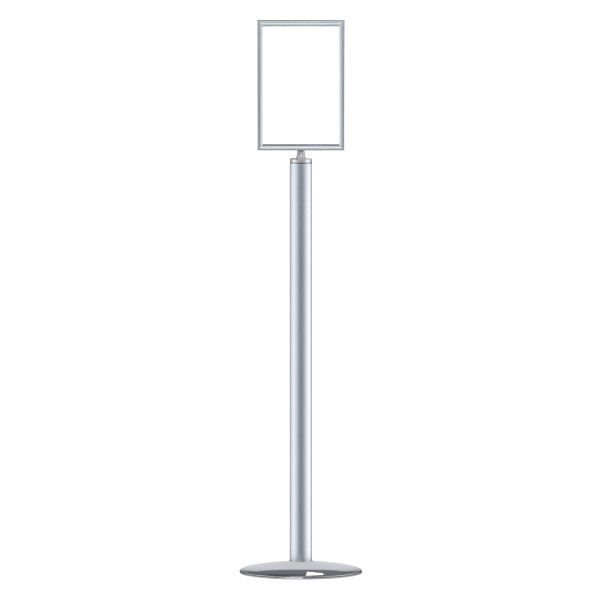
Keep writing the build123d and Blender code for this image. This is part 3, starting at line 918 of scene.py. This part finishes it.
@dataclass
class SnapRail:
    """Section of a snap rail: u runs inwards from the frame's outer edge, v outwards from its middle."""

    side: Side
    facing: Facing
    wall: float = 1.2 * MM
    hinge: Point = (1.7 * MM, 6.2 * MM)
    hook_radius: float = 1.9 * MM
    hook_bore: float = 1.2 * MM
    hook_start: float = -55.0
    hook_end: float = 150.0
    start_heading: float = 60.0
    arcs: tuple[Point, ...] = (
        (4.0 * MM, 0.0), (17.8 * MM, -28.0), (80.0 * MM, -30.5), (3.2 * MM, -90.0),
    )
    lip_start: float = 12.5 * MM
    lip_end: float = 1.95 * MM
    blunt: float = 1.2 * MM
    hook_setback: float = 4.6 * MM
    mitre_gap: float = 0.2 * MM
    lip_gap: float = 0.9 * MM
    lip_relief: float = 4.9 * MM
    lip_tool: Point = (8.0 * MM, 30.0 * MM)
    hook_tool: tuple[Point, Point] = ((-1.0 * MM, 3.0 * MM), (4.2 * MM, 7.1 * MM))
    tool_reach: float = 12.0 * MM
    edge: float = 0.12 * MM
    arc_steps: int = 9

    @property
    def name(self) -> str:
        """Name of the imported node, which is the body's too."""
        return f"{self.facing.value[0]}_rail_{self.side.value[0]}"

    def meeting(self, start: Point) -> Point:
        """Where the inner face of the first arc comes out of the hook.

        Args:
            start: Start of the outer face.

        Returns:
            The point, in section axes.
        """
        turn = math.radians(self.start_heading)
        first = self.arcs[0][0]
        centre = Vector((start[0] + first * math.sin(turn), start[1] - first * math.cos(turn)))
        reach = first - self.wall
        towards = Vector(self.hinge) - centre
        distance = towards.length
        towards.normalize()
        along = (reach ** 2 - self.hook_radius ** 2 + distance ** 2) / (2.0 * distance)
        aside = math.sqrt(reach ** 2 - along ** 2)
        point = centre + towards * along + Vector((-towards.y, towards.x)) * -aside
        return (point.x, point.y)

    def outline(self) -> list[Point]:
        """Closed outline of the section with its hook.

        Returns:
            The points, in metres.
        """
        hinge_u, hinge_v = self.hinge
        turn = math.radians(self.hook_end)
        radius = self.hook_radius
        start = (hinge_u + radius * math.cos(turn), hinge_v + radius * math.sin(turn))
        outer = arc_run(start, self.start_heading, self.arcs, 0.0, self.arc_steps)
        inner = arc_run(start, self.start_heading, self.arcs, self.wall, self.arc_steps)
        corner = self.meeting(start)
        kept = [point for point in inner if point[0] > corner[0] + self.edge]
        lip = [(outer[-1][0], self.lip_end), (inner[-1][0], self.lip_end)]
        leaves = math.degrees(math.atan2(corner[1] - hinge_v, corner[0] - hinge_u))
        hook = round_points(self.hinge, radius, leaves, self.hook_start, 8)
        bore = round_points(self.hinge, self.hook_bore, self.hook_start, self.hook_end, 14)
        return outer + lip + kept[::-1] + hook + bore

    def placement(self) -> Matrix:
        """Matrix from section axes (u, v, length) to the row frame."""
        low = Vector(map(min, *[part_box(f"frame_core_{side.value[0]}")[0] for side in Side]))
        high = Vector(map(max, *[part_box(f"frame_core_{side.value[0]}")[1] for side in Side]))
        middle = (low + high) / 2.0
        inward = Vector((self.side.value[1][0], 0.0, self.side.value[1][1]))
        outward = Vector((0.0, self.facing.value[1], 0.0))
        along = inward.cross(outward)
        half = Vector(((high.x - low.x) / 2.0, 0.0, (high.z - low.z) / 2.0))
        origin = Vector((middle.x - inward.x * half.x, 0.0, middle.z - inward.z * half.z))
        turn = Matrix((inward, outward, along)).transposed().to_4x4()
        return Matrix.Translation(origin) @ turn

    def half_length(self) -> float:
        """Half of the frame's outer size along this rail."""
        top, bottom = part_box("frame_core_top"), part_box("frame_core_bottom")
        if self.side in (Side.TOP, Side.BOTTOM):
            return (top[1].x - top[0].x) / 2.0
        return (top[1].z - bottom[0].z) / 2.0

    def end_tools(self, half: float) -> list[bpy.types.Object]:
        """Tools that cut the hook and the lip short of both ends.

        Args:
            half: Half length of the rail at its outer edge.

        Returns:
            The tool objects, in section axes.
        """
        tools = []
        past = half + self.tool_reach
        (hook_low, hook_high), (width, length) = self.hook_tool, self.lip_tool
        hook = Vector((*hook_low, half - self.hook_setback)), Vector((*hook_high, past))
        lip_high = (self.lip_start + width, self.lip_relief, past)
        lip = Vector((self.lip_start, 0.0, half - length)), Vector(lip_high)
        for sign in (-1.0, 1.0):
            for low, high in (hook, lip):
                builder = block(low, high)
                if low is lip[0]:
                    edge = Vector((0.0, 0.0, half - self.lip_gap))
                    cut_off(builder, edge, Vector((-1.0, 0.0, -1.0)))
                if sign < 0:
                    bmesh.ops.scale(builder, vec=(1.0, 1.0, -1.0), verts=builder.verts)
                    bmesh.ops.reverse_faces(builder, faces=builder.faces)
                bmesh.ops.recalc_face_normals(builder, faces=builder.faces)
                tools.append(finished(builder, "tool"))
        return tools

    def build(self, shop: Workshop) -> None:
        """Extrude, mitre and place the rail, and install it on its own body."""
        half = self.half_length()
        reach = half - self.blunt
        builder = prism([(u, v, -reach) for u, v in self.outline()], (0.0, 0.0, 2.0 * reach))
        for sign in (-1.0, 1.0):
            corner = Vector((0.0, 0.0, sign * (half - self.mitre_gap)))
            cut_off(builder, corner, Vector((1.0, 0.0, sign)))
        piece = finished(builder, f"snap_{self.name}", 35.0)
        drilled(piece, self.end_tools(half))
        piece.data.transform(self.placement())
        piece.data.set_sharp_from_angle(angle=math.radians(35.0))
        level = self.side in (Side.TOP, Side.BOTTOM)
        shop.install(piece, self.name, self.name, level)


@dataclass
class Inserts:
    """Paper inserts and clear covers in the frame."""

    corner: float = 1.5 * MM
    segments: int = 5
    air: float = 0.04 * MM

    def plate(self, node: str, name: str) -> bpy.types.Object:
        """Flat sheet the size of a node with rounded corners and a little air before and behind.

        Args:
            node: Node that gives its size and place.
            name: Name of the piece.

        Returns:
            The sheet.
        """
        low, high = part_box(node)
        gap = Vector((0.0, self.air, 0.0))
        low, high = low + gap, high - gap
        builder = block(low, high)
        across = [
            edge for edge in builder.edges
            if abs((edge.verts[0].co - edge.verts[1].co).y) > 0.5 * (high.y - low.y)
        ]
        bmesh.ops.bevel(
            builder, geom=across, offset=self.corner, offset_type="OFFSET", affect="EDGES",
            segments=self.segments, profile=0.5, material=-1, clamp_overlap=True,
        )
        return finished(builder, name)

    def build(self, shop: Workshop) -> None:
        """Build and install the sheets of both faces."""
        for facing in Facing:
            label = facing.value[0]
            shop.install(self.plate(f"{label}_sheet", f"blank_{label}_insert"), "head", f"{label}_sheet")
            shop.install(self.plate(f"{label}_cover", f"clear_{label}_cover"), "head", f"{label}_cover")


# ---------------------------------------------------------------- studio


class Glow:
    """Unlit material of a reflector: it shines, and nothing falls on it."""

    def __init__(self, name: str, strength: float = 1.0) -> None:
        """Start the material.

        Args:
            name: Name of the material.
            strength: How brightly it shines.
        """
        self.tree = NodeTree(name)
        self.glow = self.tree.add("Emission", Strength=strength)
        self.output = self.tree.nodes["Material Output"].inputs["Surface"]
        self.tree.join(self.glow.outputs["Emission"], self.output)
        self.material = self.tree.material

    def one_sided(self) -> None:
        """Let light through from the back."""
        side = self.tree.add("NewGeometry")
        clear = self.tree.add("BsdfTransparent")
        mix = self.tree.add("MixShader")
        self.tree.join(side.outputs["Backfacing"], mix.inputs["Fac"])
        self.tree.join(self.glow.outputs["Emission"], mix.inputs[1])
        self.tree.join(clear.outputs["BSDF"], mix.inputs[2])
        self.tree.join(mix.outputs["Shader"], self.output)

    def colour(self, socket: bpy.types.NodeSocket) -> None:
        """Take the colour from a pattern."""
        self.tree.join(socket, self.glow.inputs["Color"])


def cooled(value: float, coolness: float = 0.18) -> tuple[float, float, float, float]:
    """Grey that is bluer the darker it is.

    Args:
        value: Its blue, and all of its channels at 1.
        coolness: How much red black loses.

    Returns:
        The colour with alpha.
    """
    loss = coolness * max(0.0, 1.0 - value)
    return (value * (1.0 - loss), value * (1.0 - 0.6 * loss), value, 1.0)


@dataclass
class Studio:
    """Pale floor, soft lights, reflectors and camera."""

    floor_half: float = 150.0
    wall_radius: float = 2.2
    wall_foot: float = -2.0
    wall_head: float = 2.8
    back_panel_head: float = 1.0
    front_panel_rise: float = 0.30
    blend: float = 0.03
    strength: float = 1.25
    wall_steps: int = 96
    slope_ends: Point = (0.3, -0.3)
    floor_grey: float = 0.88
    floor_glow: float = 0.3
    ceiling_greys: Point = (0.06, 0.30)
    under_strength: float = 0.35
    rim_height: float = 0.0002
    rim_ends: Point = (0.12, 0.1495)
    rim_strength: float = 0.75
    shade_end: float = 0.2
    shade_head: float = 0.014
    shade_strength: float = 0.14
    foot_strength: float = 1.1
    softbox_strength: float = 4.0
    sun_elevation: float = 32.0
    sun_strength: float = 1.6
    sun_spread: float = 12.0
    camera_distance: float = 30.0
    camera_height: float = 3.2
    camera_side: float = -0.0022
    aim_height: float = 0.6568
    view_width: float = 1.4335
    sensor: float = 36.0
    softbox_roof: Corners = (
        (0.15, 1.2, 2.75), (0.60, 1.6, 2.75), (0.66, 2.0, 2.75), (0.15, 2.1, 2.75),
    )
    softbox_back: Corners = (
        (0.06, 2.13, 1.36), (0.22, 2.12, 1.56), (0.60, 2.05, 2.75), (0.15, 2.12, 2.75),
    )
    foot_level: Corners = (
        (-0.066, -0.19, 0.0005), (0.006, -0.19, 0.0005),
        (0.006, -0.145, 0.0005), (-0.066, -0.145, 0.0005),
    )
    foot_upright: Corners = (
        (-0.066, -0.19, 0.0005), (0.006, -0.19, 0.0005), (0.006, -0.19, 0.014), (-0.066, -0.19, 0.014),
    )
    rail_card: Corners = ((-0.3, -0.35, 0.92), (-0.3, -1.5, 0.75), (0.3, -1.5, 0.75), (0.3, -0.35, 0.92))

    def floor(self) -> None:
        """Large pale floor."""
        builder = bmesh.new()
        bmesh.ops.create_grid(builder, x_segments=1, y_segments=1, size=self.floor_half)
        floor = finished(builder, "studio_floor")
        floor.visible_glossy = False
        tree = NodeTree("floor_white")
        tree.give({
            "Base Color": (*[self.floor_grey] * 3, 1.0), "Roughness": 0.9, "Specular IOR Level": 0.1,
            "Emission Color": (1.0, 1.0, 1.0, 1.0), "Emission Strength": self.floor_glow,
        })
        floor.data.materials.append(tree.material)

    def reflector(self, builder: bmesh.types.BMesh, name: str, glow: Glow) -> None:
        """Stage a surface that only shiny pieces show.

        Args:
            builder: Its mesh.
            name: Its name.
            glow: Its material.
        """
        panel = finished(builder, name)
        panel.visible_camera = panel.visible_diffuse = False
        panel.visible_shadow = panel.visible_transmission = False
        panel.data.materials.append(glow.material)

    def turned(self, foot: Point, head: Point) -> bmesh.types.BMesh:
        """Round surface swept by a line from one radius and height to another."""
        return revolved((foot, head), self.wall_steps, False)

    def quad(self, corners: Corners) -> bmesh.types.BMesh:
        """Flat panel between four corners, which run anticlockwise seen from its bright side."""
        builder = bmesh.new()
        builder.faces.new([builder.verts.new(corner) for corner in corners])
        return builder

    def wall(self) -> None:
        """Round wall around the stand with panels of different brightness."""
        glow = Glow("reflector_panels", self.strength)
        tree = glow.tree
        across, depth, upward = tree.axes()
        azimuth = tree.math("ARCTAN2", across, tree.math("MULTIPLY", depth, -1.0))
        place = tree.remap(azimuth, (-math.pi, math.pi))
        front = tree.remap(depth, self.slope_ends, (0.0, -self.front_panel_rise))
        height = tree.math("ADD", upward, front)
        seam = (self.back_panel_head - self.blend, self.back_panel_head + self.blend)
        rise = tree.remap(height, seam, interpolation_type="SMOOTHSTEP")
        mix = tree.add("Mix", data_type="RGBA")
        tree.join(rise, mix.inputs["Factor"])
        tree.join(self.ramp(tree, place, self.low_panels()), mix.inputs[MIX_A])
        tree.join(self.ramp(tree, place, self.high_panels()), mix.inputs[MIX_B])
        glow.colour(mix.outputs[MIX_RESULT])
        ends = (self.wall_radius, self.wall_foot), (self.wall_radius, self.wall_head)
        self.reflector(self.turned(*ends), "reflector_wall", glow)

    def ramp(
        self, tree: NodeTree, place: bpy.types.NodeSocket, stops: Sequence[Point]
    ) -> bpy.types.NodeSocket:
        """Brightness of the wall by azimuth.

        Args:
            tree: The wall's nodes.
            place: Azimuth from 0 to 1, with 0.5 behind the camera.
            stops: Azimuth in degrees from the camera's side and brightness.

        Returns:
            The colour socket.
        """
        ramp = tree.add("ValToRGB")
        band = ramp.color_ramp
        while len(band.elements) < len(stops):
            band.elements.new(0.5)
        for element, (angle, value) in zip(band.elements, stops):
            element.position = (angle + 180.0) / 360.0
            element.color = cooled(value)
        tree.join(place, ramp.inputs["Fac"])
        return ramp.outputs["Color"]

    def low_panels(self) -> list[Point]:
        """Azimuth and brightness of the wall's lower part."""
        return [
            (-180.0, 0.65), (-174.0, 0.65), (-158.0, 0.18), (-150.0, 0.18), (-130.0, 0.36),
            (-108.0, 0.72), (-84.0, 0.94), (-60.0, 0.84), (-34.0, 0.50), (-12.0, 0.22),
            (12.0, 0.215), (30.0, 0.38), (56.0, 0.75), (80.0, 1.05), (100.0, 1.05),
            (124.0, 0.50), (150.0, 0.18), (158.0, 0.18), (174.0, 0.65), (180.0, 0.65),
        ]

    def high_panels(self) -> list[Point]:
        """Azimuth and brightness of the wall's upper part."""
        return [
            (-180.0, 0.20), (-150.0, 0.18), (-130.0, 0.09), (-80.0, 0.07), (-50.0, 0.14), (-34.0, 0.18),
            (-24.0, 0.30), (-20.0, 0.85), (20.0, 0.85), (24.0, 0.34), (60.0, 0.28), (80.0, 0.16),
            (140.0, 0.16), (155.0, 0.20), (180.0, 0.20),
        ]

    def ceiling(self) -> None:
        """Ceiling that brightens from left to right."""
        glow = Glow("ceiling_grey")
        tree = glow.tree
        ramp = tree.add("ValToRGB")
        across = tree.remap(tree.axes()[0], (-self.wall_radius, self.wall_radius))
        tree.join(across, ramp.inputs["Fac"])
        for element, grey in zip(ramp.color_ramp.elements, self.ceiling_greys):
            element.color = cooled(grey)
        glow.colour(ramp.outputs["Color"])
        ends = (0.0, self.wall_head), (self.wall_radius, self.wall_head)
        self.reflector(self.turned(*ends), "ceiling", glow)

    def cards(self) -> None:
        """Under-floor, rings round the base, softbox and small cards."""
        low = self.rim_height
        edge, end = self.rim_ends[1], self.shade_end
        under = Glow("under_floor_grey", self.under_strength)
        rim_light = Glow("rim_light", self.rim_strength)
        rim_shade = Glow("rim_shade", self.shade_strength)
        rounds = (
            ("under_floor", under, (0.0, self.wall_foot), (self.wall_radius, self.wall_foot)),
            ("rim_light", rim_light, (self.rim_ends[0], low), (edge, low)),
            ("rim_shade_level", rim_shade, (edge, low), (end, low)),
            ("rim_shade_upright", rim_shade, (end, low), (end, self.shade_head)),
        )
        for name, glow, foot, head in rounds:
            self.reflector(self.turned(foot, head), name, glow)
        foot_light = Glow("foot_light", self.foot_strength)
        box = Glow("softbox_white", self.softbox_strength)
        card = Glow("rail_card_white", 1.0)
        card.one_sided()
        flats = (
            ("foot_light_level", foot_light, self.foot_level),
            ("foot_light_upright", foot_light, self.foot_upright),
            ("softbox_roof", box, self.softbox_roof),
            ("softbox_back", box, self.softbox_back),
            ("rail_card", card, self.rail_card),
        )
        for name, glow, corners in flats:
            self.reflector(self.quad(corners), name, glow)

    def world(self) -> None:
        """Plain white air."""
        world = bpy.data.worlds.new("studio_air")
        world.use_nodes = True
        world.node_tree.nodes["Background"].inputs["Color"].default_value = (1.0, 1.0, 1.0, 1.0)
        world.cycles_visibility.glossy = False
        bpy.context.scene.world = world

    def sun(self, name: str, azimuth: float) -> None:
        """Soft distant light.

        Args:
            name: Name of the light.
            azimuth: Where it stands, in degrees from the camera's side towards +x.
        """
        data = bpy.data.lights.new(name, "SUN")
        data.energy = self.sun_strength
        data.angle = math.radians(self.sun_spread)
        lamp = bpy.data.objects.new(name, data)
        turn, rise = math.radians(azimuth), math.radians(self.sun_elevation)
        level = math.cos(rise)
        towards = Vector((math.sin(turn) * level, -math.cos(turn) * level, math.sin(rise)))
        lamp.rotation_mode = "QUATERNION"
        lamp.rotation_quaternion = towards.to_track_quat("Z", "Y")
        lamp.location = towards * 5.0
        lamp.visible_glossy = False
        bpy.context.scene.collection.objects.link(lamp)

    def camera(self) -> None:
        """Camera with a very long lens, a little above the sign."""
        data = bpy.data.cameras.new("camera")
        place = Vector((self.camera_side, -self.camera_distance, self.camera_height))
        aim = Vector((self.camera_side, 0.0, self.aim_height))
        data.sensor_width = self.sensor
        data.lens = self.sensor * (aim - place).length / self.view_width
        data.clip_start = 1.0
        data.clip_end = 2.0 * self.floor_half
        camera = bpy.data.objects.new("camera", data)
        camera.location = place
        camera.rotation_mode = "QUATERNION"
        camera.rotation_quaternion = (place - aim).to_track_quat("Z", "Y")
        bpy.context.scene.collection.objects.link(camera)
        bpy.context.scene.camera = camera

    def build(self) -> None:
        """Set the studio up."""
        self.camera()
        self.floor()
        self.wall()
        self.ceiling()
        self.cards()
        self.world()
        self.sun("front_soft_light", 0.0)
        self.sun("back_soft_light", 180.0)
        bpy.context.scene.view_settings.view_transform = "Standard"
        log.info("studio is set up")


def main() -> None:
    """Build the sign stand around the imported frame."""
    logging.basicConfig(level=logging.INFO, format="%(name)s: %(message)s")
    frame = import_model()
    shop = Workshop(frame)
    Studio().build()
    WeightedBase().build(shop)
    Post().build(shop)
    Swivel().build(shop)
    for facing in Facing:
        for side in Side:
            SnapRail(side, facing).build(shop)
    Inserts().build(shop)
    shop.dress_kept_nodes()


if __name__ == "__main__":
    main()
